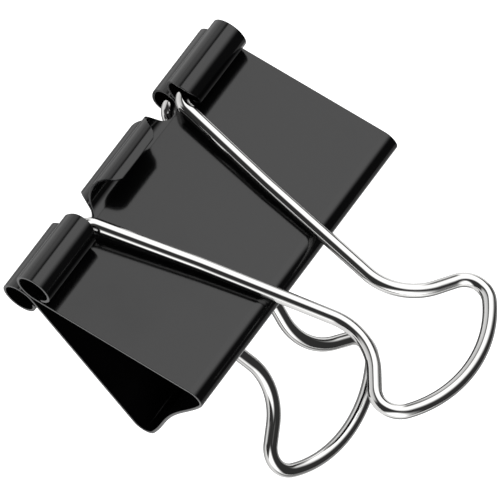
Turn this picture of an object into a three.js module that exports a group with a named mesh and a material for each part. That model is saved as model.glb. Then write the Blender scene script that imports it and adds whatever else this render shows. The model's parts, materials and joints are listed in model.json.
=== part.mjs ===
// A large binder clip: a strip of spring steel folded into a three-sided body,
// and two bent wire handles that turn in the tubes curled along its lips.
//
// Frame: X runs along the width, Y from the lips to the spine, Z up.
// The plane z = 0 lies half-way between the jaws, and the origin is the centre of the whole box.
// Lengths are millimetres, angles are degrees.

import * as THREE from 'three';

// ---- driving dimensions: the folded strip
const WIDTH = 50.8;            // along the lips
const SHEET = 0.45;            // sheet thickness with its paint
const JAW_ANGLE = 26;          // between each jaw and the mid-plane when closed
const CURL_RADIUS = 2.84;      // tube curl, to the middle of the sheet
const CURL_TIGHTEN = 0.25;     // how much smaller the second half of the curl is
const CURL_TURN = 335;         // how far round a tube goes
const FLAP_RADIUS = 2.5;       // the middle flap is curled a little tighter than the tubes
const FLAP_TURN = 205;         // how far round the middle flap goes
const LIP_GAP = 0.3;           // between the two rows of tubes
const CORNER_RADIUS = 2.0;     // bend between jaw and spine, to the middle of the sheet
const SPINE_HALF = 10.85;      // half height of the bowed part of the spine
const SPINE_BOW = 0.9;         // how far the spine's middle is pressed in

// ---- driving dimensions: the blank's outline at the lips
const NOTCH_CENTRE = 10.95;    // distance of each wire notch from the middle of the width
const NOTCH_ROOT_RADIUS = 1.65;
const NOTCH_ROOT_TURNS = [4, 10, 20, 33]; // rows that draw the notch's round root
// [turn of the curl, distance from the middle of the width]
const TAB_EDGE = [[0, 12.6], [70, 13.1], [120, 13.4], [185, 12.7], [250, 13.4], [335, 13.9]];
const FLAP_EDGE = [[0, 9.3], [60, 8.1], [110, 6.75], [160, 5.3], [205, 4.25]];

// ---- driving dimensions: where the strip may bend, and its flat patches
const FLEX_TURN = 58;          // hinge line, degrees round the corner from the spine
const FLEX_GAP = 0.3;          // free gap at the hinge line
const PATCH_HALF = 3.8;        // half width of the clear strip between the handle's arms
const PATCH_START = 8;         // distance of the flat patch from the end of the curl

// ---- driving dimensions: the wire handles
const WIRE_RADIUS = 1.1;
const HANDLE_ANGLE = 23.6;     // handle plane to the mid-plane, folded back over its jaw
const LEG_END = 22.5;          // the wire's tips, from the middle of the width
const LEG_BEND_RADIUS = 2.0;
const ARM_START = 11.9;        // where an arm's line meets the tube's axis
const ELBOW = { x: 8.1, y: 18, radius: 60 };
const NECK = { x: 3.18, y: 44.7, radius: 9.7 };
const FLARE_ANGLE = 54.2;      // from the handle's centre line
const SHOULDER_RADIUS = 3.7;
const TIP_RADIUS = 17.0;
const TIP_REACH = 59.6;        // from the tube's axis to the far end of the loop

// ---- fineness of the curves
const CURL_STEP = 12;
const CORNER_STEP = 10;
const SPINE_ROWS = 12;
const WIRE_STEPS = 128;
const WIRE_HALF_SIDES = 6;      // flats on half of the wire's round section

const rad = THREE.MathUtils.degToRad;

function polar(angle, radius = 1) {
  return new THREE.Vector2(Math.cos(angle) * radius, Math.sin(angle) * radius);
}

function along(start, direction, distance) {
  return start.clone().addScaledVector(direction, distance);
}

// ---- the strip's section, as Vector2(y, z), for the upper half

const jaw = polar(rad(JAW_ANGLE));
const jawNormal = polar(rad(90 + JAW_ANGLE));
const tubeHeight = CURL_RADIUS + SHEET / 2 + LIP_GAP / 2;
const tangentHeight = tubeHeight - CURL_RADIUS * Math.cos(rad(JAW_ANGLE));
const cornerTopHeight = SPINE_HALF + CORNER_RADIUS * Math.cos(rad(JAW_ANGLE));
const jawLength = (cornerTopHeight - tangentHeight) / Math.sin(rad(JAW_ANGLE));

// The tube's axis is the section's own zero, so everything else is laid out from it.
const tubeAxis = new THREE.Vector2(0, tubeHeight);
const curlStart = along(tubeAxis, jawNormal, -CURL_RADIUS);
const cornerTop = along(curlStart, jaw, jawLength);
const cornerCentre = along(cornerTop, jawNormal, -CORNER_RADIUS);
const flexGapTurn = THREE.MathUtils.radToDeg(FLEX_GAP / 2 / CORNER_RADIUS);

// A station is a point on the middle of the sheet and the direction of its outer face.
function cornerStation(turn) {
  const normal = polar(rad(turn));
  return { point: along(cornerCentre, normal, CORNER_RADIUS), normal };
}

function jawStation(distance) {
  return { point: along(curlStart, jaw, distance), normal: jawNormal };
}

function curlStation(turn) {
  const tight = turn > 180;
  const radius = tight ? CURL_RADIUS - CURL_TIGHTEN : CURL_RADIUS;
  const centre = tight ? along(tubeAxis, jawNormal, CURL_TIGHTEN) : tubeAxis;
  const outward = polar(rad(JAW_ANGLE - 90 - turn));
  return { point: along(centre, outward, radius), normal: outward.clone().negate() };
}

function flapStation(turn) {
  const outward = polar(rad(JAW_ANGLE - 90 - turn));
  const centre = along(curlStart, jawNormal, FLAP_RADIUS);
  return { point: along(centre, outward, FLAP_RADIUS), normal: outward.clone().negate() };
}

function spineStation(height) {
  const phase = Math.PI * height / SPINE_HALF;
  const inset = SPINE_BOW * (1 + Math.cos(phase)) / 2;
  const slope = SPINE_BOW * Math.PI / SPINE_HALF * Math.sin(phase) / 2;
  const point = new THREE.Vector2(cornerCentre.x + CORNER_RADIUS - inset, height);
  return { point, normal: new THREE.Vector2(1, -slope).normalize() };
}

function mirrored({ point, normal }) {
  return {
    point: new THREE.Vector2(point.x, -point.y),
    normal: new THREE.Vector2(normal.x, -normal.y),
  };
}

// ---- sheet metal: rows of stations, each with its own x positions, given a thickness

// Even steps from first to last, both included.
function steps(first, last, size) {
  const count = Math.max(1, Math.round(Math.abs(last - first) / size));
  return Array.from({ length: count + 1 }, (_, i) => first + (last - first) * i / count);
}

function readCurve(table, value) {
  const next = table.findIndex(([key]) => key > value);
  if (next < 0) return table.at(-1)[1];
  const [key0, x0] = table[next - 1];
  const [key1, x1] = table[next];
  return THREE.MathUtils.lerp(x0, x1, (value - key0) / (key1 - key0));
}

// rows: [{ xs, stationAt(column) }]; hasCell(row, column) says where there is metal.
function sheetMetal(rows, hasCell) {
  const positions = [];
  const ids = new Map();
  const sites = rows.map(({ xs, stationAt }, row) => xs.map((x, column) => {
    const { point, normal } = stationAt(column);
    const key = `${row}:${x.toFixed(4)}`;
    if (!ids.has(key)) {
      ids.set(key, ids.size);
      for (const side of [SHEET / 2, -SHEET / 2]) {
        const face = along(point, normal, side);
        positions.push(x, face.x, face.y);
      }
    }
    return ids.get(key);
  }));
  const outer = (site) => site * 2;
  const inner = (site) => site * 2 + 1;
  const index = [];
  const edges = new Map();
  const addTriangle = (a, b, c) => {
    if (a === b || b === c || c === a) return;
    index.push(outer(a), outer(b), outer(c));
    index.push(inner(c), inner(b), inner(a));
    for (const [from, to] of [[a, b], [b, c], [c, a]]) edges.set(`${from}:${to}`, [from, to]);
  };
  for (let row = 0; row + 1 < rows.length; row += 1) {
    for (let column = 0; column + 1 < sites[row].length; column += 1) {
      if (!hasCell(row, column)) continue;
      const [a, b] = [sites[row][column], sites[row][column + 1]];
      const [d, c] = [sites[row + 1][column], sites[row + 1][column + 1]];
      addTriangle(a, c, b);
      addTriangle(a, d, c);
    }
  }
  for (const [from, to] of edges.values()) {
    if (edges.has(`${to}:${from}`)) continue;
    index.push(outer(to), outer(from), inner(from));
    index.push(outer(to), inner(from), inner(to));
  }
  const geometry = new THREE.BufferGeometry();
  geometry.setAttribute('position', new THREE.Float32BufferAttribute(positions, 3));
  geometry.setIndex(index);
  geometry.computeVertexNormals();
  return geometry;
}

// ---- the jaw: corner, flat, two end tubes and the middle flap

// Distances from the middle of the width to the notch's two sides.
function notchSides(turn) {
  if (turn <= 0) return { flap: NOTCH_CENTRE, tab: NOTCH_CENTRE };
  const depth = rad(turn) * CURL_RADIUS / NOTCH_ROOT_RADIUS;
  const opening = depth < 1 ? Math.sqrt(1 - (1 - depth) ** 2) : 1;
  return {
    flap: THREE.MathUtils.lerp(NOTCH_CENTRE, readCurve(FLAP_EDGE, turn), opening),
    tab: THREE.MathUtils.lerp(NOTCH_CENTRE, readCurve(TAB_EDGE, turn), opening),
  };
}

// Across the width a row has seven columns: tab, notch, three for the flap, notch, tab.
const TAB_COLUMNS = [0, 6];
const NOTCH_COLUMNS = [1, 5];
const isFlapEdge = (column) => column >= 2 && column <= 5;

function lipColumns(turn) {
  const { flap, tab } = notchSides(turn);
  const half = [PATCH_HALF, flap, tab, WIDTH / 2];
  return [...half.map((x) => -x).reverse(), ...half];
}

function jawGeometry() {
  const corner = steps(FLEX_TURN + flexGapTurn, 90 + JAW_ANGLE, CORNER_STEP).map(cornerStation);
  const flat = [jawStation(PATCH_START), jawStation(0)];
  const rootEnd = NOTCH_ROOT_TURNS.at(-1);
  const flapTurns = [...NOTCH_ROOT_TURNS, ...steps(rootEnd, FLAP_TURN, CURL_STEP).slice(1)];
  const curlTurns = [...flapTurns, ...steps(FLAP_TURN, CURL_TURN, CURL_STEP).slice(1)];
  const rows = [
    ...[...corner, ...flat].map((station) => ({ xs: lipColumns(0), stationAt: () => station })),
    ...curlTurns.map((turn) => ({
      xs: lipColumns(turn),
      stationAt: (column) => (isFlapEdge(column) ? flapStation(turn) : curlStation(turn)),
    })),
  ];
  const lastFlapRow = corner.length + flat.length + flapTurns.length - 1;
  return sheetMetal(rows, (row, column) => {
    if (TAB_COLUMNS.includes(column)) return true;
    return !NOTCH_COLUMNS.includes(column) && row < lastFlapRow;
  });
}

// ---- the spine: its bow and the inner part of both corners

function spineGeometry() {
  const corner = steps(0, FLEX_TURN - flexGapTurn, CORNER_STEP).map(cornerStation);
  const bowHeights = steps(-SPINE_HALF, SPINE_HALF, 2 * SPINE_HALF / SPINE_ROWS).slice(1, -1);
  const bow = bowHeights.map(spineStation);
  const stations = [...corner.map(mirrored).reverse(), ...bow, ...corner];
  const rows = stations.map((station) => ({ xs: [-WIDTH / 2, WIDTH / 2], stationAt: () => station }));
  return sheetMetal(rows, () => true);
}

// ---- the wire handle, drawn flat: x along the width, y away from the tube's axis

class FlatCurve extends THREE.Curve {
  constructor(path) {
    super();
    this.path = path;
  }

  getPoint(t, target = new THREE.Vector3()) {
    const point = this.path.getPoint(t);
    return target.set(point.x, point.y, 0);
  }
}

// A right-hand turn of the given radius at a corner between two directions.
function rightTurn(corner, into, out, radius) {
  const half = into.angleTo(out) / 2;
  const start = along(corner, into, -radius * Math.tan(half));
  const side = new THREE.Vector2(into.y, -into.x);
  return {
    centre: along(start, side, radius),
    radius,
    from: side.clone().negate().angle(),
    to: side.clone().negate().angle() - 2 * half,
    clockwise: true,
  };
}

// The rounded shoulder, touching the flare line and the tip's arc from inside.
function shoulderTurn(neck, flare, tipCentre) {
  const side = new THREE.Vector2(flare.y, -flare.x);
  const base = along(neck, side, -SHOULDER_RADIUS).sub(tipCentre);
  const reach = TIP_RADIUS - SHOULDER_RADIUS;
  const middle = base.dot(flare);
  const distance = -middle + Math.sqrt(middle ** 2 - base.lengthSq() + reach ** 2);
  const offset = along(base, flare, distance);
  return {
    centre: tipCentre.clone().add(offset),
    radius: SHOULDER_RADIUS,
    from: Math.atan2(side.y, side.x),
    to: Math.atan2(offset.y, offset.x),
    clockwise: false,
  };
}

function handleTurns() {
  const armFoot = new THREE.Vector2(ARM_START, 0);
  const elbow = new THREE.Vector2(ELBOW.x, ELBOW.y);
  const neck = new THREE.Vector2(NECK.x, NECK.y);
  const lowerArm = elbow.clone().sub(armFoot).normalize();
  const upperArm = neck.clone().sub(elbow).normalize();
  const flare = polar(rad(90 - FLARE_ANGLE));
  const tipCentre = new THREE.Vector2(0, TIP_REACH - TIP_RADIUS);
  const shoulder = shoulderTurn(neck, flare, tipCentre);
  const half = [
    rightTurn(armFoot, new THREE.Vector2(-1, 0), lowerArm, LEG_BEND_RADIUS),
    rightTurn(elbow, lowerArm, upperArm, ELBOW.radius),
    rightTurn(neck, upperArm, flare, NECK.radius),
    shoulder,
  ];
  const tip = {
    centre: tipCentre,
    radius: TIP_RADIUS,
    from: shoulder.to,
    to: Math.PI - shoulder.to,
    clockwise: false,
  };
  const otherHalf = half.map((turn) => ({
    ...turn,
    centre: new THREE.Vector2(-turn.centre.x, turn.centre.y),
    from: Math.PI - turn.to,
    to: Math.PI - turn.from,
  }));
  return [...half, tip, ...otherHalf.reverse()];
}

function handleGeometry() {
  const turns = handleTurns();
  const outline = new THREE.Path();
  outline.moveTo(LEG_END, 0);
  outline.lineTo(turns[0].centre.x, 0);
  for (const { centre, radius, from, to, clockwise } of turns) {
    outline.absarc(centre.x, centre.y, radius, from, to, clockwise);
  }
  outline.lineTo(-LEG_END, 0);
  const section = new THREE.Shape();
  section.absarc(0, 0, WIRE_RADIUS, 0, 2 * Math.PI);
  return new THREE.ExtrudeGeometry(section, {
    steps: WIRE_STEPS,
    curveSegments: WIRE_HALF_SIDES,
    extrudePath: new FlatCurve(outline),
  });
}

// ---- assembly

function part(name, geometry, look) {
  const mesh = new THREE.Mesh(geometry, new THREE.MeshStandardMaterial(look));
  mesh.name = name;
  return mesh;
}

const blackEnamel = { color: 0x0c0c0d, roughness: 0.12, metalness: 0.0 };
const brightNickel = { color: 0xd8d8d6, roughness: 0.08, metalness: 1.0 };

// One jaw with the handle that turns in its tubes.
function jawWithHandle(side) {
  const group = new THREE.Group();
  const handle = part(`${side}_handle`, handleGeometry(), brightNickel);
  handle.position.set(0, tubeAxis.x, tubeAxis.y);
  handle.rotation.x = rad(HANDLE_ANGLE);
  group.add(part(`${side}_jaw`, jawGeometry(), blackEnamel), handle);
  return group;
}

const clip = new THREE.Group();
const upper = jawWithHandle('upper');
const lower = jawWithHandle('lower');
lower.rotation.y = Math.PI;
clip.add(part('spine', spineGeometry(), blackEnamel), upper, lower);

// The lips and the loops' ends are equally far from the origin.
const box = new THREE.Box3().setFromObject(clip, true);
clip.position.y = -(box.min.y + box.max.y) / 2;

export default clip;
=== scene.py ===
# %% [markdown]
# # A large binder clip
#
# A binder clip has three real parts: one strip of spring steel folded into a three-sided body,
# and two wire handles that turn in the tubes curled along the strip's lips. This lesson loads the
# clip's fixed frame first. The frame holds the rigid bodies and the joints, so everything made
# here goes where the frame says, and the wires are parented to the handles' bodies.

# %% Load the frame
import json
import math

import bmesh
import bpy
from mathutils import Matrix, Vector


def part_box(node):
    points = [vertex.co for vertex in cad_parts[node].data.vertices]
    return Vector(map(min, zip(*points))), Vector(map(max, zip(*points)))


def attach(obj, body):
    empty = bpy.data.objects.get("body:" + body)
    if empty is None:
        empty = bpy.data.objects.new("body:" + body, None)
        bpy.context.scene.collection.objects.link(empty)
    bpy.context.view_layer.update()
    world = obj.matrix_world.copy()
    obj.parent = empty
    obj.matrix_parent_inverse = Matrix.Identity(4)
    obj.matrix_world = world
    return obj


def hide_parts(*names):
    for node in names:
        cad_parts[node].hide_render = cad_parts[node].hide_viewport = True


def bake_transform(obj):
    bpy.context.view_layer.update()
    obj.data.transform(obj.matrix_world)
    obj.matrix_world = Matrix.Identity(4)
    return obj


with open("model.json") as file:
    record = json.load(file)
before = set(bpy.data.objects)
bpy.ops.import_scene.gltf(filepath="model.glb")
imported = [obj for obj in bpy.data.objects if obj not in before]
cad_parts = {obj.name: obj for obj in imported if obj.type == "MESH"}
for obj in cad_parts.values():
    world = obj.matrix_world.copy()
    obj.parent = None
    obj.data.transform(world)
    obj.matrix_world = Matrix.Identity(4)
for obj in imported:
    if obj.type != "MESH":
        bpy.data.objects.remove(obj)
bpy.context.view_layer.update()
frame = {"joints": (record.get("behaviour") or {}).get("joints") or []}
hinges = {joint["name"]: Vector(joint["pos_m"]) for joint in frame["joints"]}

# %% [markdown]
# ## Sizes of the strip
#
# The real strip is cut flat, painted and then bent, so its sizes are those of a flat blank plus a
# list of bends. Each bend has a radius, measured to the middle of the sheet, and a turn. The
# tube's axis is a hinge of the frame, so it is read from there and not typed again.

# %% Sizes of the strip, in metres
MM = 0.001
WIDTH = 50.8 * MM
SHEET = 0.45 * MM
EDGE_ROUND = 0.07 * MM
SPINE_HALF = 10.85 * MM
SPINE_BOW = 0.9 * MM
CORNER_RADIUS = 2.0 * MM
JAW_ANGLE = math.radians(26)
CORNER_TURN = math.radians(90) + JAW_ANGLE
CURL_RADIUS = 2.84 * MM
TIGHT_RADIUS = 2.59 * MM
CURL_TURN = math.radians(335)
FLAP_RADIUS = 2.5 * MM
FLAP_TURN = math.radians(205)

tube_axis = hinges["upper_handle_swing"]
spine_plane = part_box("spine")[1].y - SHEET / 2
corner_top = SPINE_HALF + CORNER_RADIUS * math.cos(JAW_ANGLE)
jaw_foot = tube_axis.z - CURL_RADIUS * math.cos(JAW_ANGLE)
JAW_LENGTH = (corner_top - jaw_foot) / math.sin(JAW_ANGLE)
print("flat length of one jaw, mm:", round(JAW_LENGTH / MM, 2))

# %% [markdown]
# ## Distances along the flat blank
#
# Every point of the blank has a flat distance: how far it lies from the middle of the spine,
# measured along the steel. Bending never changes it. That makes it the best ruler for placing
# the bends, the notches for the wires and the rows of the mesh.

# %% Distances along the flat blank
corner_start = SPINE_HALF
jaw_start = corner_start + CORNER_RADIUS * CORNER_TURN
curl_start = jaw_start + JAW_LENGTH
tight_start = curl_start + CURL_RADIUS * math.pi


def curl_distance(turn):
    """Flat distance of the place where the curl has turned this far."""
    if turn <= math.pi:
        return curl_start + CURL_RADIUS * turn
    return tight_start + TIGHT_RADIUS * (turn - math.pi)


blank_end = curl_distance(CURL_TURN)
print("half blank, mm:", round(blank_end / MM, 2))

# %% [markdown]
# ## The lip's outline
#
# The press cuts two U-shaped notches into the blank for the arms of each wire. What is left
# between them becomes a short flap, and what is left outside becomes the two tubes. The notch
# sides aren't straight, so each is written as a few places joined by a smooth curve. A place is
# how far the curl has turned there, in degrees, and how far the side then lies from the middle of
# the width, in millimetres. The curve is a Hermite one with slopes taken from the neighbours.

# %% The notch sides
NOTCH_MIDDLE = 10.95 * MM
NOTCH_ROOT = 1.65 * MM
TUBE_SIDE = [
    (0, 12.6), (60, 13.0), (120, 13.1), (160, 12.75),
    (186, 12.7), (212, 12.8), (255, 13.4), (335, 13.9),
]
FLAP_SIDE = [(0, 9.3), (60, 8.1), (110, 6.8), (160, 5.5), (190, 4.8), (205, 3.9)]


def smooth_reading(places, key):
    """Reads a smooth curve through (key, value) places."""
    if key <= places[0][0]:
        return places[0][1]
    if key >= places[-1][0]:
        return places[-1][1]
    i = max(n for n, (k, _) in enumerate(places[:-1]) if k <= key)

    def slope(n):
        before, after = places[max(n - 1, 0)], places[min(n + 1, len(places) - 1)]
        return (after[1] - before[1]) / (after[0] - before[0])

    (k0, v0), (k1, v1) = places[i], places[i + 1]
    step = k1 - k0
    t = (key - k0) / step
    from_start = v0 * (1 + 2 * t) * (1 - t) ** 2 + v1 * t * t * (3 - 2 * t)
    return from_start + step * (slope(i) * t * (1 - t) ** 2 + slope(i + 1) * t * t * (t - 1))


def notch_sides(turn):
    """(flap side, tube side) distances from the middle of the width."""
    depth = min(1.0, max(0.0, turn * CURL_RADIUS / NOTCH_ROOT))
    opening = math.sqrt(1 - (1 - depth) ** 2)
    degrees = math.degrees(turn)
    sides = smooth_reading(FLAP_SIDE, degrees) * MM, smooth_reading(TUBE_SIDE, degrees) * MM
    return [NOTCH_MIDDLE + (side - NOTCH_MIDDLE) * opening for side in sides]


print("notch at the top of the tube, mm:", [round(x / MM, 2) for x in notch_sides(math.pi)])

# %% [markdown]
# ## The flat blank
#
# A mesh bends well only where it has rows across the bend. The blank therefore gets a row about
# every three degrees of each bend, and hardly any on the flats. It is made as a grid standing
# upright in the spine's plane, then given the sheet's thickness, and the rim is rounded a little,
# because a painted cut edge always shows a thin line of light.

# %% Rows and columns of the flat blank
BEND_STEP = math.radians(3)
SPINE_STEP = 0.4 * MM
NOTCH_ROOT_STEP = math.radians(9)


def spaced(first, last, size):
    """Even steps from first to last, both included."""
    count = max(1, round(abs(last - first) / size))
    return [first + (last - first) * i / count for i in range(count + 1)]


def blank_rows():
    """(flat distance, curl turn) of each row, from the middle of the spine to the curl's end."""
    spine = [(d, 0) for d in spaced(0, corner_start, SPINE_STEP)]
    corner = [(corner_start + CORNER_RADIUS * a, 0) for a in spaced(0, CORNER_TURN, BEND_STEP)]
    root_angles = spaced(0, math.pi / 2, NOTCH_ROOT_STEP)
    root = [NOTCH_ROOT * (1 - math.cos(a)) / CURL_RADIUS for a in root_angles]
    beside_flap = spaced(root[-1], FLAP_TURN, BEND_STEP)
    past_flap = spaced(FLAP_TURN, CURL_TURN, BEND_STEP)[1:]
    turns = root[:-1] + beside_flap + past_flap
    return spine + corner[1:] + [(curl_distance(turn), turn) for turn in turns]


rows = blank_rows()
print("rows:", len(rows))

# %% [markdown]
# ## Cutting the blank
#
# A row of the grid has six columns of faces, from left to right: tube, notch, flap, flap, notch
# and tube. Leaving out the notch's faces past the lip cuts the notch, and the flap's faces stop
# where its shorter curl ends.

# %% Cut the blank and give it its thickness
NOTCH_COLUMNS = (1, 4)
FLAP_COLUMNS = (2, 3)
RIM_ANGLE = 0.6
RIM_SEGMENTS = 2
TINY = 1e-7


def cut_blank():
    """The flat blank as a grid of faces: flap columns in the middle, tube columns outside."""
    bm = bmesh.new()
    above = None
    for distance, turn in rows:
        flap, tube = notch_sides(turn)
        xs = [-WIDTH / 2, -tube, -flap, 0, flap, tube, WIDTH / 2]
        flap_distance = curl_start + FLAP_RADIUS * turn if turn else distance
        heights = [distance] * 2 + [flap_distance] * 3 + [distance] * 2
        if turn == 0:
            verts = {x: bm.verts.new((x, spine_plane, distance)) for x in sorted(set(xs))}
            line = [verts[x] for x in xs]
        else:
            line = [bm.verts.new((x, spine_plane, z)) for x, z in zip(xs, heights)]
        for c in range(6) if above else ():
            if c in NOTCH_COLUMNS and turn > 0:
                continue
            if c in FLAP_COLUMNS and turn > FLAP_TURN + TINY:
                continue
            corners = [above[c], above[c + 1], line[c + 1], line[c]]
            unique = list(dict.fromkeys(corners))
            if len(unique) > 2:
                bm.faces.new(unique)
        above = line
    loose = [v for v in bm.verts if not v.link_faces]
    bmesh.ops.delete(bm, geom=loose, context="VERTS")
    return bm


def at_seam(edge):
    """True on the edges where the two halves of the strip meet, in the spine's middle."""
    return all(abs(v.co.z) < TINY for v in edge.verts)


def thicken_and_round(bm):
    """Gives the sheet its thickness and rounds its rim, but not the seam in the spine's middle."""
    sheet = bmesh.ops.extrude_face_region(bm, geom=bm.faces[:], use_keep_orig=True)
    moved = [v for v in sheet["geom"] if isinstance(v, bmesh.types.BMVert)]
    bmesh.ops.translate(bm, verts=moved, vec=(0, -SHEET / 2, 0))
    stay = set(moved)
    bmesh.ops.translate(bm, verts=[v for v in bm.verts if v not in stay], vec=(0, SHEET / 2, 0))
    bmesh.ops.recalc_face_normals(bm, faces=bm.faces[:])
    rim = [e for e in bm.edges if e.calc_face_angle(0) > RIM_ANGLE and not at_seam(e)]
    rounding = {"offset": EDGE_ROUND, "segments": RIM_SEGMENTS, "profile": 0.5, "clamp_overlap": False}
    bmesh.ops.bevel(bm, geom=rim, affect="EDGES", **rounding)
    for edge in bm.edges:
        edge.smooth = not at_seam(edge)
    for face in bm.faces:
        face.smooth = True


def blank_mesh(name):
    """The blank as a mesh, with 1 in the attribute "rim" on every face of its cut edge."""
    bm = cut_blank()
    thicken_and_round(bm)
    mesh = bpy.data.meshes.new(name)
    bm.to_mesh(mesh)
    bm.free()
    rim = mesh.attributes.new("rim", "FLOAT", "FACE")
    just_under_half = SHEET / 2 * 0.98
    for face in mesh.polygons:
        on_a_side = abs(face.center.y - spine_plane) > just_under_half
        rim.data[face.index].value = 0.0 if on_a_side else 1.0
    return mesh


flat_blank = bpy.data.objects.new("flat_blank", blank_mesh("flat_blank"))
bpy.context.scene.collection.objects.link(flat_blank)
print("flat blank faces:", len(flat_blank.data.polygons))

# %% [markdown]
# ## Bending along a line
#
# A press brake bends a sheet along one straight line. Whatever lies past the line swings round as
# one rigid piece, and the steel inside the bend wraps round a cylinder. Both cases are the same
# sum: slide the point back by the arc it used up, then turn it about the cylinder's axis. One
# small node group does that sum, and three copies of it in a row make the whole clip. The far
# bend has to come first, while everything before it is still flat.

# %% The node group that makes one bend


def link(tree, source, target):
    tree.links.new(source, target)


def feed(tree, value, socket):
    """Gives an input its value: a number is stored in it, another node's output is linked to it."""
    if isinstance(value, (int, float)):
        socket.default_value = value
    else:
        link(tree, value, socket)


def math_node(tree, operation, *values):
    node = tree.nodes.new("ShaderNodeMath")
    node.operation = operation
    for socket, value in zip(node.inputs, values):
        feed(tree, value, socket)
    return node.outputs[0]


def combine(tree, x, y, z):
    node = tree.nodes.new("ShaderNodeCombineXYZ")
    for socket, value in zip(node.inputs, (x, y, z)):
        feed(tree, value, socket)
    return node.outputs[0]


def vector_node(tree, operation, a, b):
    node = tree.nodes.new("ShaderNodeVectorMath")
    node.operation = operation
    link(tree, a, node.inputs[0])
    link(tree, b, node.inputs[1])
    return node.outputs[0]


def bend_group():
    tree = bpy.data.node_groups.new("Bend along a line", "GeometryNodeTree")
    tree.interface.new_socket("Position", in_out="INPUT", socket_type="NodeSocketVector")
    for name in ("Flat Distance", "Start", "Radius", "Turn", "Side", "Sheet Plane"):
        tree.interface.new_socket(name, in_out="INPUT", socket_type="NodeSocketFloat")
    tree.interface.new_socket("Position", in_out="OUTPUT", socket_type="NodeSocketVector")
    inputs = tree.nodes.new("NodeGroupInput").outputs
    past = math_node(tree, "SUBTRACT", inputs["Flat Distance"], inputs["Start"])
    angle = math_node(tree, "MAXIMUM", math_node(tree, "DIVIDE", past, inputs["Radius"]), 0)
    angle = math_node(tree, "MINIMUM", angle, inputs["Turn"])
    used = math_node(tree, "MULTIPLY", angle, inputs["Radius"])
    slid = vector_node(tree, "SUBTRACT", inputs["Position"], combine(tree, 0, 0, used))
    side_radius = math_node(tree, "MULTIPLY", inputs["Radius"], inputs["Side"])
    axis_y = math_node(tree, "SUBTRACT", inputs["Sheet Plane"], side_radius)
    turned = tree.nodes.new("ShaderNodeVectorRotate")
    turned.rotation_type = "X_AXIS"
    link(tree, slid, turned.inputs["Vector"])
    link(tree, combine(tree, 0, axis_y, inputs["Start"]), turned.inputs["Center"])
    link(tree, math_node(tree, "MULTIPLY", angle, inputs["Side"]), turned.inputs["Angle"])
    link(tree, turned.outputs[0], tree.nodes.new("NodeGroupOutput").inputs["Position"])
    return tree


one_bend = bend_group()
print("bend group inputs:", [s.name for s in one_bend.interface.items_tree if s.in_out == "INPUT"])

# %% [markdown]
# ## Folding the strip
#
# The folding tree reads each point's flat distance, runs it through the three bends and presses
# the spine's middle in a little, which is what lets the spring snap. All sizes are named inputs,
# so a narrower or thicker clip needs no new nodes.

# %% The tree that folds the strip
FOLD_SIZES = {
    "Sheet Plane": spine_plane,
    "Spine Half Height": SPINE_HALF,
    "Spine Bow": SPINE_BOW,
    "Corner Start": corner_start,
    "Corner Radius": CORNER_RADIUS,
    "Corner Turn": CORNER_TURN,
    "Curl Start": curl_start,
    "Curl Radius": CURL_RADIUS,
    "Flap Radius": FLAP_RADIUS,
    "Flap Turn": FLAP_TURN,
    "Notch Middle": NOTCH_MIDDLE,
    "Tight Curl Start": tight_start,
    "Tight Curl Radius": TIGHT_RADIUS,
    "Tight Curl Turn": CURL_TURN - math.pi,
}
INWARD, OUTWARD = 1, -1


def add_bend(tree, inputs, position, distance, start, radius, turn, side):
    node = tree.nodes.new("GeometryNodeGroup")
    node.node_tree = one_bend
    link(tree, position, node.inputs["Position"])
    link(tree, distance, node.inputs["Flat Distance"])
    link(tree, start, node.inputs["Start"])
    link(tree, radius, node.inputs["Radius"])
    link(tree, turn, node.inputs["Turn"])
    link(tree, inputs["Sheet Plane"], node.inputs["Sheet Plane"])
    node.inputs["Side"].default_value = side
    return node.outputs["Position"]


def pick(tree, share, when_zero, when_one):
    """when_zero where share is 0, when_one where it is 1."""
    node = tree.nodes.new("ShaderNodeMix")
    link(tree, share, node.inputs["Factor"])
    feed(tree, when_zero, node.inputs["A"])
    feed(tree, when_one, node.inputs["B"])
    return node.outputs["Result"]


def add_bow(tree, inputs, position, distance):
    """Presses the spine in by a cosine wave that is flat at the corners and at the middle."""
    share = math_node(tree, "DIVIDE", distance, inputs["Spine Half Height"])
    phase = math_node(tree, "MULTIPLY", math_node(tree, "MINIMUM", share, 1), math.pi)
    wave = math_node(tree, "ADD", math_node(tree, "COSINE", phase), 1)
    inset = math_node(tree, "MULTIPLY", math_node(tree, "MULTIPLY", wave, 0.5), inputs["Spine Bow"])
    return vector_node(tree, "SUBTRACT", position, combine(tree, 0, inset, 0))


def finish_tree(tree, geometry, inputs):
    realize = tree.nodes.new("GeometryNodeRealizeInstances")
    material = tree.nodes.new("GeometryNodeSetMaterial")
    link(tree, geometry, realize.inputs[0])
    link(tree, realize.outputs[0], material.inputs["Geometry"])
    link(tree, inputs["Finish"], material.inputs["Material"])
    link(tree, material.outputs[0], tree.nodes.new("NodeGroupOutput").inputs["Geometry"])


def new_shape_tree(name, sizes):
    tree = bpy.data.node_groups.new(name, "GeometryNodeTree")
    tree.interface.new_socket("Geometry", in_out="INPUT", socket_type="NodeSocketGeometry")
    for size in sizes:
        tree.interface.new_socket(size, in_out="INPUT", socket_type="NodeSocketFloat")
    tree.interface.new_socket("Finish", in_out="INPUT", socket_type="NodeSocketMaterial")
    tree.interface.new_socket("Geometry", in_out="OUTPUT", socket_type="NodeSocketGeometry")
    return tree, tree.nodes.new("NodeGroupInput").outputs


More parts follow.
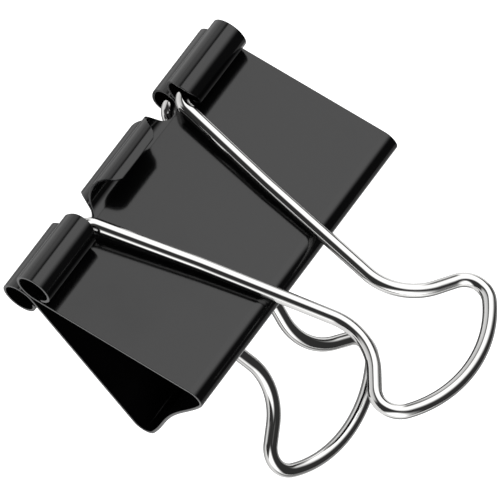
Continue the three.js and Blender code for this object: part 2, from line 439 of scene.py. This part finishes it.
def folding_tree():
    tree, inputs = new_shape_tree("Fold the strip", FOLD_SIZES)
    position = tree.nodes.new("GeometryNodeInputPosition").outputs[0]
    split = tree.nodes.new("ShaderNodeSeparateXYZ")
    link(tree, position, split.inputs[0])
    distance = split.outputs["Z"]
    across = math_node(tree, "ABSOLUTE", split.outputs["X"])
    on_flap = math_node(tree, "LESS_THAN", across, inputs["Notch Middle"])
    radius = pick(tree, on_flap, inputs["Curl Radius"], inputs["Flap Radius"])
    turn = pick(tree, on_flap, math.pi, inputs["Flap Turn"])
    tight_turn = pick(tree, on_flap, inputs["Tight Curl Turn"], 0)
    tight_start, tight_radius = inputs["Tight Curl Start"], inputs["Tight Curl Radius"]
    bent = add_bend(tree, inputs, position, distance, tight_start, tight_radius, tight_turn, OUTWARD)
    bent = add_bend(tree, inputs, bent, distance, inputs["Curl Start"], radius, turn, OUTWARD)
    corner = inputs["Corner Start"], inputs["Corner Radius"], inputs["Corner Turn"]
    bent = add_bend(tree, inputs, bent, distance, *corner, INWARD)
    bent = add_bow(tree, inputs, bent, distance)
    place = tree.nodes.new("GeometryNodeSetPosition")
    link(tree, inputs["Geometry"], place.inputs["Geometry"])
    link(tree, bent, place.inputs["Position"])
    finish_tree(tree, place.outputs[0], inputs)
    return tree


fold_the_strip = folding_tree()
print("folding tree nodes:", len(fold_the_strip.nodes))

# %% [markdown]
# ## Finishes: effects shared by paint and plating
#
# Two effects are used by more than one finish, so each is a shader node group. "Surface ripple"
# gives the slow waviness that paint and plating both have. "Rubbed patches" gives a mask of
# places that fingers have dulled. Both read the object's own coordinates, so the pattern sits on
# the metal and runs across the seam between the two halves.

# %% Shared effects as node groups


def noise_node(tree, vector, scale, detail=2.0):
    node = tree.nodes.new("ShaderNodeTexNoise")
    node.inputs["Detail"].default_value = detail
    link(tree, vector, node.inputs["Vector"])
    feed(tree, scale, node.inputs["Scale"])
    return node.outputs["Fac"]


def map_range(tree, value, from_low, from_high, to_low, to_high):
    node = tree.nodes.new("ShaderNodeMapRange")
    feed(tree, value, node.inputs["Value"])
    feed(tree, from_low, node.inputs["From Min"])
    feed(tree, from_high, node.inputs["From Max"])
    feed(tree, to_low, node.inputs["To Min"])
    feed(tree, to_high, node.inputs["To Max"])
    return node.outputs[0]


def effect_group(name, settings, output):
    tree = bpy.data.node_groups.new(name, "ShaderNodeTree")
    tree.interface.new_socket("Vector", in_out="INPUT", socket_type="NodeSocketVector")
    for setting, value in settings.items():
        socket = tree.interface.new_socket(setting, in_out="INPUT", socket_type="NodeSocketFloat")
        socket.default_value = value
    tree.interface.new_socket(output, in_out="OUTPUT", socket_type="NodeSocketFloat")
    return tree, tree.nodes.new("NodeGroupInput").outputs, tree.nodes.new("NodeGroupOutput").inputs


def surface_ripple():
    tree, inputs, outputs = effect_group("Surface ripple", {"Wave Count": 300, "Fine Share": 0.3}, "Height")
    slow = noise_node(tree, inputs["Vector"], inputs["Wave Count"], 1.0)
    fine = noise_node(tree, inputs["Vector"], math_node(tree, "MULTIPLY", inputs["Wave Count"], 6), 2.0)
    mixed = math_node(tree, "ADD", slow, math_node(tree, "MULTIPLY", fine, inputs["Fine Share"]))
    link(tree, mixed, outputs["Height"])
    return tree


def rubbed_patches():
    tree, inputs, outputs = effect_group("Rubbed patches", {"Patch Count": 90, "Amount": 0.5}, "Mask")
    patches = noise_node(tree, inputs["Vector"], inputs["Patch Count"], 5.0)
    low = math_node(tree, "SUBTRACT", 0.75, math_node(tree, "MULTIPLY", inputs["Amount"], 0.4))
    link(tree, map_range(tree, patches, low, 0.85, 0, 1), outputs["Mask"])
    return tree


ripple = surface_ripple()
rubbed = rubbed_patches()
print("effect groups:", ripple.name, "and", rubbed.name)

# %% [markdown]
# ## Black enamel
#
# The strip is dipped or sprayed with black stoving enamel. It is a clear, hard gloss over a body
# colour that is nearly black, so almost everything seen on it is reflection. The shader is a
# Principled BSDF with a very dark base, a low roughness that rises a little where fingers rub,
# and a faint bump, a few thousandths of a millimetre at most, for the paint's orange peel. On the cut rim
# the coat is thinner and a shade lighter.

# %% Black enamel
ENAMEL_COLOUR = (0.0018, 0.0018, 0.002)
THIN_ENAMEL_COLOUR = (0.02, 0.02, 0.021)
ENAMEL_ROUGHNESS = 0.13
RUBBED_ENAMEL_ADDS = 0.05
THIN_ENAMEL_ADDS = 0.12
PAINT_BUMP = 0.35
BUMP_HEIGHT = 0.006 * MM


def use_group(tree, group, vector, **settings):
    node = tree.nodes.new("ShaderNodeGroup")
    node.node_tree = group
    link(tree, vector, node.inputs["Vector"])
    for name, value in settings.items():
        node.inputs[name.replace("_", " ")].default_value = value
    return node.outputs[0]


def new_material(name):
    material = bpy.data.materials.new(name)
    material.use_nodes = True
    tree = material.node_tree
    return material, tree, tree.nodes["Principled BSDF"]


def mix_colour(tree, share, first, second):
    node = tree.nodes.new("ShaderNodeMix")
    node.data_type = "RGBA"
    link(tree, share, node.inputs["Factor"])
    node.inputs["A"].default_value = (*first, 1)
    node.inputs["B"].default_value = (*second, 1)
    return node.outputs["Result"]


def add_bump(tree, shader, height, strength, distance):
    bump = tree.nodes.new("ShaderNodeBump")
    bump.inputs["Strength"].default_value = strength
    bump.inputs["Distance"].default_value = distance
    link(tree, height, bump.inputs["Height"])
    link(tree, bump.outputs[0], shader.inputs["Normal"])


def black_enamel():
    material, tree, shader = new_material("black_enamel")
    place = tree.nodes.new("ShaderNodeTexCoord").outputs["Object"]
    rim = tree.nodes.new("ShaderNodeAttribute")
    rim.attribute_name = "rim"
    speckle = noise_node(tree, place, 2600, 3.0)
    thin = math_node(tree, "MULTIPLY", rim.outputs["Fac"], map_range(tree, speckle, 0.35, 0.7, 0.2, 1))
    colour = mix_colour(tree, thin, ENAMEL_COLOUR, THIN_ENAMEL_COLOUR)
    link(tree, colour, shader.inputs["Base Color"])
    dulled = use_group(tree, rubbed, place, Patch_Count=70, Amount=0.45)
    rough = math_node(tree, "ADD", math_node(tree, "MULTIPLY", dulled, RUBBED_ENAMEL_ADDS), ENAMEL_ROUGHNESS)
    rough = math_node(tree, "ADD", rough, math_node(tree, "MULTIPLY", thin, THIN_ENAMEL_ADDS))
    link(tree, rough, shader.inputs["Roughness"])
    shader.inputs["IOR"].default_value = 1.5
    height = use_group(tree, ripple, place, Wave_Count=260, Fine_Share=0.12)
    add_bump(tree, shader, height, PAINT_BUMP, BUMP_HEIGHT)
    return material


enamel = black_enamel()
print("enamel nodes:", len(enamel.node_tree.nodes))

# %% [markdown]
# ## Bright nickel plate
#
# The handles are steel wire, drawn through a die, bent and then plated with bright nickel. The
# die leaves very fine lines along the wire, and plating softens them. The pattern has to follow
# the wire round its bends, so it reads the attribute "wire_place", which holds the distance
# along the wire and the place round it.

# %% Bright nickel plate
NICKEL_COLOUR = (0.53, 0.527, 0.52)
DULLED_NICKEL_COLOUR = (0.46, 0.457, 0.45)
NICKEL_ROUGHNESS = 0.045
RUBBED_NICKEL_ADDS = 0.06
DRAWN_LINES_ADD = 0.03
DRAWN_LINES_SCALE = (40, 9, 9)
PLATE_BUMP = 0.3


def bright_nickel():
    material, tree, shader = new_material("bright_nickel")
    place = tree.nodes.new("ShaderNodeTexCoord").outputs["Object"]
    wire_place = tree.nodes.new("ShaderNodeAttribute")
    wire_place.attribute_name = "wire_place"
    stretch = tree.nodes.new("ShaderNodeMapping")
    stretch.inputs["Scale"].default_value = DRAWN_LINES_SCALE
    link(tree, wire_place.outputs["Vector"], stretch.inputs["Vector"])
    lines = noise_node(tree, stretch.outputs[0], 1.0, 4.0)
    dulled = use_group(tree, rubbed, place, Patch_Count=160, Amount=0.5)
    colour = mix_colour(tree, dulled, NICKEL_COLOUR, DULLED_NICKEL_COLOUR)
    link(tree, colour, shader.inputs["Base Color"])
    shader.inputs["Metallic"].default_value = 1.0
    rough = math_node(tree, "ADD", math_node(tree, "MULTIPLY", dulled, RUBBED_NICKEL_ADDS), NICKEL_ROUGHNESS)
    rough = math_node(tree, "ADD", rough, math_node(tree, "MULTIPLY", lines, DRAWN_LINES_ADD))
    link(tree, rough, shader.inputs["Roughness"])
    wavy = use_group(tree, ripple, place, Wave_Count=220, Fine_Share=0.1)
    height = math_node(tree, "ADD", wavy, math_node(tree, "MULTIPLY", lines, 0.25))
    add_bump(tree, shader, height, PLATE_BUMP, BUMP_HEIGHT)
    return material


nickel = bright_nickel()
print("nickel nodes:", len(nickel.node_tree.nodes))

# %% [markdown]
# ## From tree to finished piece
#
# A modifier with a node tree is live: it would be worked out again at every pose, and pieces that
# bend must have their final points. So each piece is evaluated once and kept as a plain mesh. The
# inputs are set by each socket's identifier before that first evaluation.

# %% Run a tree once and keep the mesh


def run_tree(source, tree, sizes, finish, name):
    modifier = source.modifiers.new("Shape", "NODES")
    modifier.node_group = tree
    ids = {s.name: s.identifier for s in tree.interface.items_tree if s.in_out == "INPUT"}
    for size, value in sizes.items():
        modifier[ids[size]] = value
    modifier[ids["Finish"]] = finish
    source.update_tag()
    evaluated = source.evaluated_get(bpy.context.evaluated_depsgraph_get())
    mesh = bpy.data.meshes.new_from_object(evaluated)
    source.modifiers.remove(modifier)
    mesh.name = name
    piece = bpy.data.objects.new(name, mesh)
    bpy.context.scene.collection.objects.link(piece)
    return piece


def half_turn_copy(piece, name):
    """The other side of the clip: the same piece turned half a turn about Y."""
    mesh = piece.data.copy()
    mesh.transform(Matrix.Rotation(math.pi, 4, "Y"))
    mesh.name = name
    other = bpy.data.objects.new(name, mesh)
    bpy.context.scene.collection.objects.link(other)
    return other


upper_leaf = run_tree(flat_blank, fold_the_strip, FOLD_SIZES, enamel, "upper_leaf")
lower_leaf = half_turn_copy(upper_leaf, "lower_leaf")
bpy.data.objects.remove(flat_blank)

# %% [markdown]
# ## The leaves and the frame's spine and jaws
#
# The real strip is one spring and bends mostly at its two corners. In the frame that bend is a
# hinge between the spine and each jaw. Each leaf here runs from the middle of the spine to its
# tube, so it crosses one such hinge; the frame's own spine and jaw are hidden under it. A weighted
# normal keeps the big flats perfectly flat in reflections beside tiny rims.

# %% Hide the frame's spine and jaw under each leaf and keep its flats flat


for leaf, jaw, side in ((upper_leaf, "upper_jaw", 1), (lower_leaf, "lower_jaw", -1)):
    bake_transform(leaf)
    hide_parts("spine", jaw)
    flats = leaf.modifiers.new("Flat faces stay flat", "WEIGHTED_NORMAL")
    flats.keep_sharp = True
    print(leaf.name, "follows the spine and", jaw)

# %% [markdown]
# ## The wire handles
#
# A handle starts as straight wire. A bending machine makes nine bends in it, each round its own
# pin: two at the tubes, two slight ones in the arms, two at the narrow neck, two at the shoulders,
# and one long, gentle bend at the far end. So the wire is drawn as a zigzag of straight lines with
# a bend radius stored at each corner.

# %% The zigzag that the wire is bent from
WIRE_RADIUS = 1.1 * MM
HANDLE_ANGLE = math.radians(23.6)
LEG_END = 22.5 * MM
ARM_START = 11.9 * MM
ELBOW = Vector((8.1, 18.0)) * MM
NECK = Vector((3.18, 44.7)) * MM
FLARE_ANGLE = math.radians(54.2)
TIP_REACH = 59.6 * MM
BEND_RADII = {"leg": 2.0 * MM, "elbow": 60 * MM, "neck": 9.7 * MM, "shoulder": 3.7 * MM, "tip": 17.0 * MM}


def shoulder_and_tip():
    """Corners of the zigzag where the flare line meets the tip bend's end tangent, and its peak."""
    flare = Vector((math.sin(FLARE_ANGLE), math.cos(FLARE_ANGLE)))
    side = Vector((flare.y, -flare.x))
    tip_centre = Vector((0, TIP_REACH - BEND_RADII["tip"]))
    base = NECK - side * BEND_RADII["shoulder"] - tip_centre
    reach = BEND_RADII["tip"] - BEND_RADII["shoulder"]
    middle = base.dot(flare)
    out = (base + flare * (math.sqrt(middle**2 - base.length_squared + reach**2) - middle)).normalized()
    touch = tip_centre + out * BEND_RADII["tip"]
    tangent = Vector((-out.y, out.x))
    peak = touch + tangent * (-touch.x / tangent.x)
    reach_back = ((touch - NECK).dot(side)) / tangent.dot(side)
    return touch - tangent * reach_back, peak


shoulder, peak = shoulder_and_tip()
right_half = [
    (Vector((LEG_END, 0)), 0.0),
    (Vector((ARM_START, 0)), BEND_RADII["leg"]),
    (ELBOW, BEND_RADII["elbow"]),
    (NECK, BEND_RADII["neck"]),
    (shoulder, BEND_RADII["shoulder"]),
]
left_half = [(Vector((-corner.x, corner.y)), radius) for corner, radius in reversed(right_half)]
zigzag = [*right_half, (peak, BEND_RADII["tip"]), *left_half]
print("zigzag corners, mm:", [tuple(round(c / MM, 1) for c in corner) for corner, _ in zigzag])

# %% [markdown]
# ## Bending the wire
#
# Geometry Nodes rounds every corner of the zigzag to its radius, spaces the points evenly and
# sweeps a circle along them. The distance along the wire and the place round it are kept as
# attributes for the plating's fine lines.

# %% The tree that bends the wire
POINTS_PER_BEND = 60
POINTS_ALONG_WIRE = 520
POINTS_ROUND_WIRE = 36


def wire_tree(sizes):
    tree, inputs = new_shape_tree("Bend a wire", sizes)
    to_curve = tree.nodes.new("GeometryNodeMeshToCurve")
    link(tree, inputs["Geometry"], to_curve.inputs[0])
    radius = tree.nodes.new("GeometryNodeInputNamedAttribute")
    radius.data_type = "FLOAT"
    radius.inputs["Name"].default_value = "bend_radius"
    rounded = tree.nodes.new("GeometryNodeFilletCurve")
    rounded.mode = "POLY"
    rounded.inputs["Count"].default_value = POINTS_PER_BEND
    link(tree, to_curve.outputs[0], rounded.inputs["Curve"])
    link(tree, radius.outputs["Attribute"], rounded.inputs["Radius"])
    even = tree.nodes.new("GeometryNodeResampleCurve")
    even.inputs["Count"].default_value = POINTS_ALONG_WIRE
    link(tree, rounded.outputs[0], even.inputs["Curve"])
    along = tree.nodes.new("GeometryNodeSplineParameter").outputs["Length"]
    keep_along = tree.nodes.new("GeometryNodeStoreNamedAttribute")
    keep_along.inputs["Name"].default_value = "along"
    link(tree, even.outputs[0], keep_along.inputs["Geometry"])
    link(tree, along, keep_along.inputs["Value"])
    circle = tree.nodes.new("GeometryNodeCurvePrimitiveCircle")
    circle.inputs["Resolution"].default_value = POINTS_ROUND_WIRE
    link(tree, inputs["Wire Radius"], circle.inputs["Radius"])
    keep_around = tree.nodes.new("GeometryNodeStoreNamedAttribute")
    keep_around.inputs["Name"].default_value = "around"
    link(tree, circle.outputs[0], keep_around.inputs["Geometry"])
    link(tree, tree.nodes.new("GeometryNodeSplineParameter").outputs["Factor"], keep_around.inputs["Value"])
    sweep = tree.nodes.new("GeometryNodeCurveToMesh")
    sweep.inputs["Fill Caps"].default_value = True
    link(tree, keep_along.outputs[0], sweep.inputs["Curve"])
    link(tree, keep_around.outputs[0], sweep.inputs["Profile Curve"])
    finish_tree(tree, sweep.outputs[0], inputs)
    return tree


WIRE_SIZES = {"Wire Radius": WIRE_RADIUS}
bend_a_wire = wire_tree(WIRE_SIZES)
print("wire tree nodes:", len(bend_a_wire.nodes))

# %% [markdown]
# ## Making the two handles
#
# The zigzag is laid in the handle's own plane, which tilts up from the tube's axis. The swept
# mesh then gets rounded wire ends and its "wire_place" attribute. Place round the wire is stored
# as a point on a circle, so that the pattern has no seam.

# %% Make the handles
END_ROUND = 0.3 * MM
END_SEGMENTS = 4


def zigzag_object():
    mesh = bpy.data.meshes.new("zigzag")
    tilt = Matrix.Rotation(HANDLE_ANGLE, 4, "X")
    points = [tube_axis + tilt @ Vector((corner.x, corner.y, 0)) for corner, _ in zigzag]
    mesh.from_pydata(points, [(i, i + 1) for i in range(len(points) - 1)], [])
    radii = mesh.attributes.new("bend_radius", "FLOAT", "POINT")
    radii.data.foreach_set("value", [radius for _, radius in zigzag])
    wire = bpy.data.objects.new("zigzag", mesh)
    bpy.context.scene.collection.objects.link(wire)
    return wire


def store_wire_place(mesh):
    """Turns the swept mesh's two readings into one vector: (along, cosine round, sine round)."""
    along, around = mesh.attributes["along"].data, mesh.attributes["around"].data
    place = mesh.attributes.new("wire_place", "FLOAT_VECTOR", "POINT")
    for i in range(len(mesh.vertices)):
        angle = around[i].value * 2 * math.pi
        place.data[i].vector = (along[i].value, math.cos(angle), math.sin(angle))


def round_wire_ends(mesh):
    """Rounds the rim of both cut ends, which are the only faces with more than four corners."""
    bm = bmesh.new()
    bm.from_mesh(mesh)
    ends = [f for f in bm.faces if len(f.verts) > 4]
    rims = [e for f in ends for e in f.edges]
    bmesh.ops.bevel(bm, geom=rims, offset=END_ROUND, segments=END_SEGMENTS, profile=0.5, affect="EDGES")
    bmesh.ops.recalc_face_normals(bm, faces=bm.faces[:])
    for face in bm.faces:
        face.smooth = True
    bm.to_mesh(mesh)
    bm.free()


straight_wire = zigzag_object()
upper_wire = run_tree(straight_wire, bend_a_wire, WIRE_SIZES, nickel, "upper_wire")
bpy.data.objects.remove(straight_wire)
store_wire_place(upper_wire.data)
round_wire_ends(upper_wire.data)
lower_wire = half_turn_copy(upper_wire, "lower_wire")
for wire, handle in ((upper_wire, "upper_handle"), (lower_wire, "lower_handle")):
    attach(wire, handle)
    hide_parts(handle)
print("wire faces:", len(upper_wire.data.polygons))

# %% [markdown]
# ## Floor
#
# The clip is shown over a plain pale floor that glows a little, like a photographer's light
# table. It lies low enough for the handles and jaws to move through their whole range without
# touching it. Glossy things need something dark to mirror, or their edges melt into the floor, so
# the camera sees an even glow and the clip mirrors another one. That mirrored glow carries a
# painted shadow: a dark round patch under the clip, in place of the clip's own shadow on the
# floor. It also fades behind the spine, and is bright again far to the right and behind.

# %% Floor
FLOOR_DEPTH = 44 * MM
FLOOR_HALF_SIDE = 2.0
FLOOR_GREY = (0.3, 0.3, 0.3, 1)
FLOOR_ROUGHNESS = 0.9
CAMERA_GLOW = 1.2
FADE_Y = (35 * MM, 60 * MM)
FADED_GLOW = 0.1
BRIGHT_X = (75 * MM, 105 * MM)
BRIGHT_Y = (-15 * MM, 20 * MM)
BRIGHT_GLOW = 1.2
# Painted shadow: a dark round patch in the mirrored glow under the clip, in place of its own shadow.
PAINTED_SHADOW_CENTRE = Vector((-14.04, -19.76, 0)) * MM
PAINTED_SHADOW_RADIUS = 52 * MM
PAINTED_SHADOW_EDGE = (0.75, 1.25)
PAINTED_SHADOW_GLOW = 0.12


def light_table():
    material, tree, shader = new_material("light_table")
    shader.inputs["Base Color"].default_value = FLOOR_GREY
    shader.inputs["Roughness"].default_value = FLOOR_ROUGHNESS
    place = tree.nodes.new("ShaderNodeTexCoord").outputs["Object"]
    split = tree.nodes.new("ShaderNodeSeparateXYZ")
    link(tree, place, split.inputs[0])
    behind = map_range(tree, split.outputs["Y"], *FADE_Y, 1.0, FADED_GLOW)
    right = map_range(tree, split.outputs["X"], *BRIGHT_X, 0, BRIGHT_GLOW)
    right = math_node(tree, "MULTIPLY", right, map_range(tree, split.outputs["Y"], *BRIGHT_Y, 0, 1))
    beside = math_node(tree, "MAXIMUM", behind, right)
    # The dark round patch is a painted shadow of the clip on the floor, seen only in the clip's reflections.
    patch = tree.nodes.new("ShaderNodeMapping")
    patch.inputs["Location"].default_value = -PAINTED_SHADOW_CENTRE / PAINTED_SHADOW_RADIUS
    patch.inputs["Scale"].default_value = (1 / PAINTED_SHADOW_RADIUS, 1 / PAINTED_SHADOW_RADIUS, 0)
    link(tree, place, patch.inputs["Vector"])
    reach = tree.nodes.new("ShaderNodeVectorMath")
    reach.operation = "LENGTH"
    link(tree, patch.outputs[0], reach.inputs[0])
    outside = map_range(tree, reach.outputs["Value"], *PAINTED_SHADOW_EDGE, PAINTED_SHADOW_GLOW, 1)
    mirrored = math_node(tree, "MULTIPLY", beside, outside)
    seen = tree.nodes.new("ShaderNodeLightPath").outputs["Is Camera Ray"]
    glow = math_node(tree, "MAXIMUM", mirrored, math_node(tree, "MULTIPLY", seen, CAMERA_GLOW))
    shader.inputs["Emission Color"].default_value = (1, 1, 1, 1)
    link(tree, glow, shader.inputs["Emission Strength"])
    return material


def flat_floor():
    bm = bmesh.new()
    bmesh.ops.create_grid(bm, x_segments=1, y_segments=1, size=FLOOR_HALF_SIDE)
    bmesh.ops.translate(bm, verts=bm.verts[:], vec=(0, 0, -FLOOR_DEPTH))
    mesh = bpy.data.meshes.new("floor")
    bm.to_mesh(mesh)
    bm.free()
    mesh.materials.append(light_table())
    floor = bpy.data.objects.new("floor", mesh)
    bpy.context.scene.collection.objects.link(floor)
    return floor


floor = flat_floor()
print("floor at z, mm:", -FLOOR_DEPTH / MM)

# %% [markdown]
# ## Studio light
#
# Gloss black paint and bright wire show the room more than themselves, so the light is designed
# as what they should mirror. A big soft panel hangs high on the left: the near jaw mirrors it as
# one even grey. A low strip stands in front, another on the right puts the second white line on
# each wire, and the ceiling round the camera stays dark for the black lines between them. The
# panels are painted on the sky dome, each as soft limits on the x, y and z of a direction. A limit
# names its axis, then where the light is out and where it is full. As with the floor, the camera
# itself sees an even white dome.

# %% Studio light
ROOM_GLOW = 0.05
PANELS = {
    "high left": (2.0, [("x", 0.25, -0.1), ("x", -0.95, -0.83), ("y", 0.45, -0.15), ("y", -0.74, -0.655)]),
    "low front": (1.05, [("y", -0.7, -0.85), ("z", 0.68, 0.28)]),
    "right": (2.4, [("x", 0.35, 0.78), ("y", -0.25, 0.05)]),
}


def soft_limit(tree, value, zero_at, one_at):
    """A smooth step from 0 to 1, in whichever direction the two places lie."""
    node = tree.nodes.new("ShaderNodeMapRange")
    node.interpolation_type = "SMOOTHSTEP"
    link(tree, value, node.inputs["Value"])
    low, high = min(zero_at, one_at), max(zero_at, one_at)
    node.inputs["From Min"].default_value = low
    node.inputs["From Max"].default_value = high
    node.inputs["To Min"].default_value = 0 if zero_at < one_at else 1
    node.inputs["To Max"].default_value = 1 if zero_at < one_at else 0
    return node.outputs[0]


def panel(tree, axes, strength, limits):
    """A soft panel: its strength times all of its soft limits."""
    light = strength
    for axis, zero_at, one_at in limits:
        light = math_node(tree, "MULTIPLY", soft_limit(tree, axes[axis], zero_at, one_at), light)
    return light


def studio_dome():
    world = bpy.data.worlds.new("studio_dome")
    world.use_nodes = True
    tree = world.node_tree
    split = tree.nodes.new("ShaderNodeSeparateXYZ")
    link(tree, tree.nodes.new("ShaderNodeTexCoord").outputs["Object"], split.inputs[0])
    axes = {"x": split.outputs["X"], "y": split.outputs["Y"], "z": split.outputs["Z"]}
    total = ROOM_GLOW
    for strength, limits in PANELS.values():
        total = math_node(tree, "ADD", panel(tree, axes, strength, limits), total)
    seen = tree.nodes.new("ShaderNodeLightPath").outputs["Is Camera Ray"]
    total = math_node(tree, "MAXIMUM", total, seen)
    link(tree, total, tree.nodes["Background"].inputs["Strength"])
    tree.nodes["Background"].inputs["Color"].default_value = (1, 1, 1, 1)
    bpy.context.scene.world = world
    return world


dome = studio_dome()
bpy.context.scene.view_settings.view_transform = "Standard"
print("dome nodes:", len(dome.node_tree.nodes))

# %% [markdown]
# ## Camera
#
# The camera looks down on the near jaw from well back with a long lens, so that the width of the
# clip hardly tapers. It is placed by three plain facts: the point it is centred on, the direction
# back towards it, and which way is up in the picture.

# %% Camera
SENSOR_WIDTH = 36.0
CAMERA_DISTANCE = 1482.6 * MM
PICTURE_SIDE = 73.51 * MM
TOWARDS_CAMERA = Vector((0.348563, -0.135028, 0.927508))
PICTURE_UP = Vector((-0.747562, -0.636969, 0.188207))
CENTRED_ON = Vector((-1.033, -4.578, 3.554)) * MM


def place_camera():
    data = bpy.data.cameras.new("camera")
    data.sensor_width = SENSOR_WIDTH
    data.lens = SENSOR_WIDTH * CAMERA_DISTANCE / PICTURE_SIDE
    data.clip_start, data.clip_end = 0.1, 10.0
    camera = bpy.data.objects.new("camera", data)
    bpy.context.scene.collection.objects.link(camera)
    back = TOWARDS_CAMERA.normalized()
    right = PICTURE_UP.cross(back).normalized()
    up = back.cross(right)
    turn = Matrix((right, up, back)).transposed().to_4x4()
    camera.matrix_world = Matrix.Translation(CENTRED_ON + back * CAMERA_DISTANCE) @ turn
    bpy.context.scene.camera = camera
    return camera


camera = place_camera()
print("lens, mm:", round(camera.data.lens, 1))
